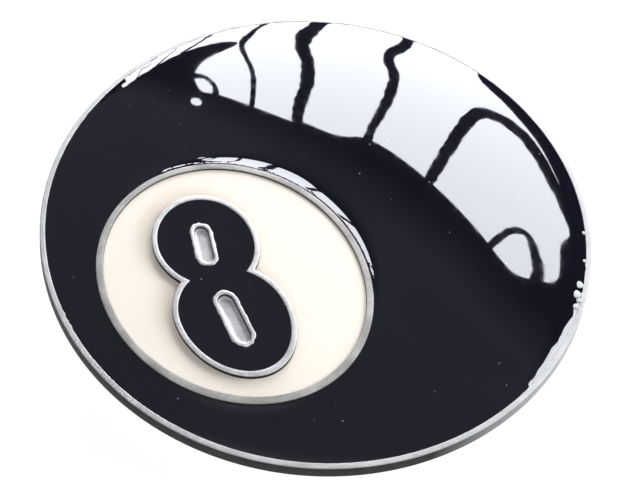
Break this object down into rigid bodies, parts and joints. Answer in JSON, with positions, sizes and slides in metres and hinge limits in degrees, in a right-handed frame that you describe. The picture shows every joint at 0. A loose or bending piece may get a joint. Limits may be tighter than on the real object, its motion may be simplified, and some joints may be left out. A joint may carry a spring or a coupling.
{
  "type": "belt buckle",
  "caption": "Round domed belt buckle with an enamelled eight-ball face in a cast metal rim, with a swing bail and a hook stud behind.",
  "frame": {"origin": "centre of the round casting, on the plane that the clip's barrel and the stud's tip stand on", "axes": "+Z out of the enamelled face, +Y along the numeral's own up, +X towards the hook stud"},
  "size_m": [0.0744, 0.0744, 0.0121],
  "materials": {
    "pewter": "satin cast zinc alloy, antiqued dark in the hollows",
    "plated_steel": "nickel-plated steel, satin",
    "black_enamel": "glossy blue-black enamel",
    "cream_enamel": "glossy warm white enamel"
  },
  "bodies": {
    "buckle": {"buckle_casting": "pewter", "field_enamel": "black_enamel", "spot_enamel": "cream_enamel", "numeral_enamel": "black_enamel", "bail_clip": "plated_steel", "clip_rivet_lower": "plated_steel", "clip_rivet_upper": "plated_steel", "hook_stud": "plated_steel"},
    "bail": {"bail_loop": "plated_steel"}
  },
  "joints": [
    {"name": "bail_hinge", "type": "hinge", "parent": "buckle", "child": "bail", "pos_m": [-0.011, 0, 0.00285], "axis": [0, -1, 0], "range_deg": [-8, 180]}
  ]
}
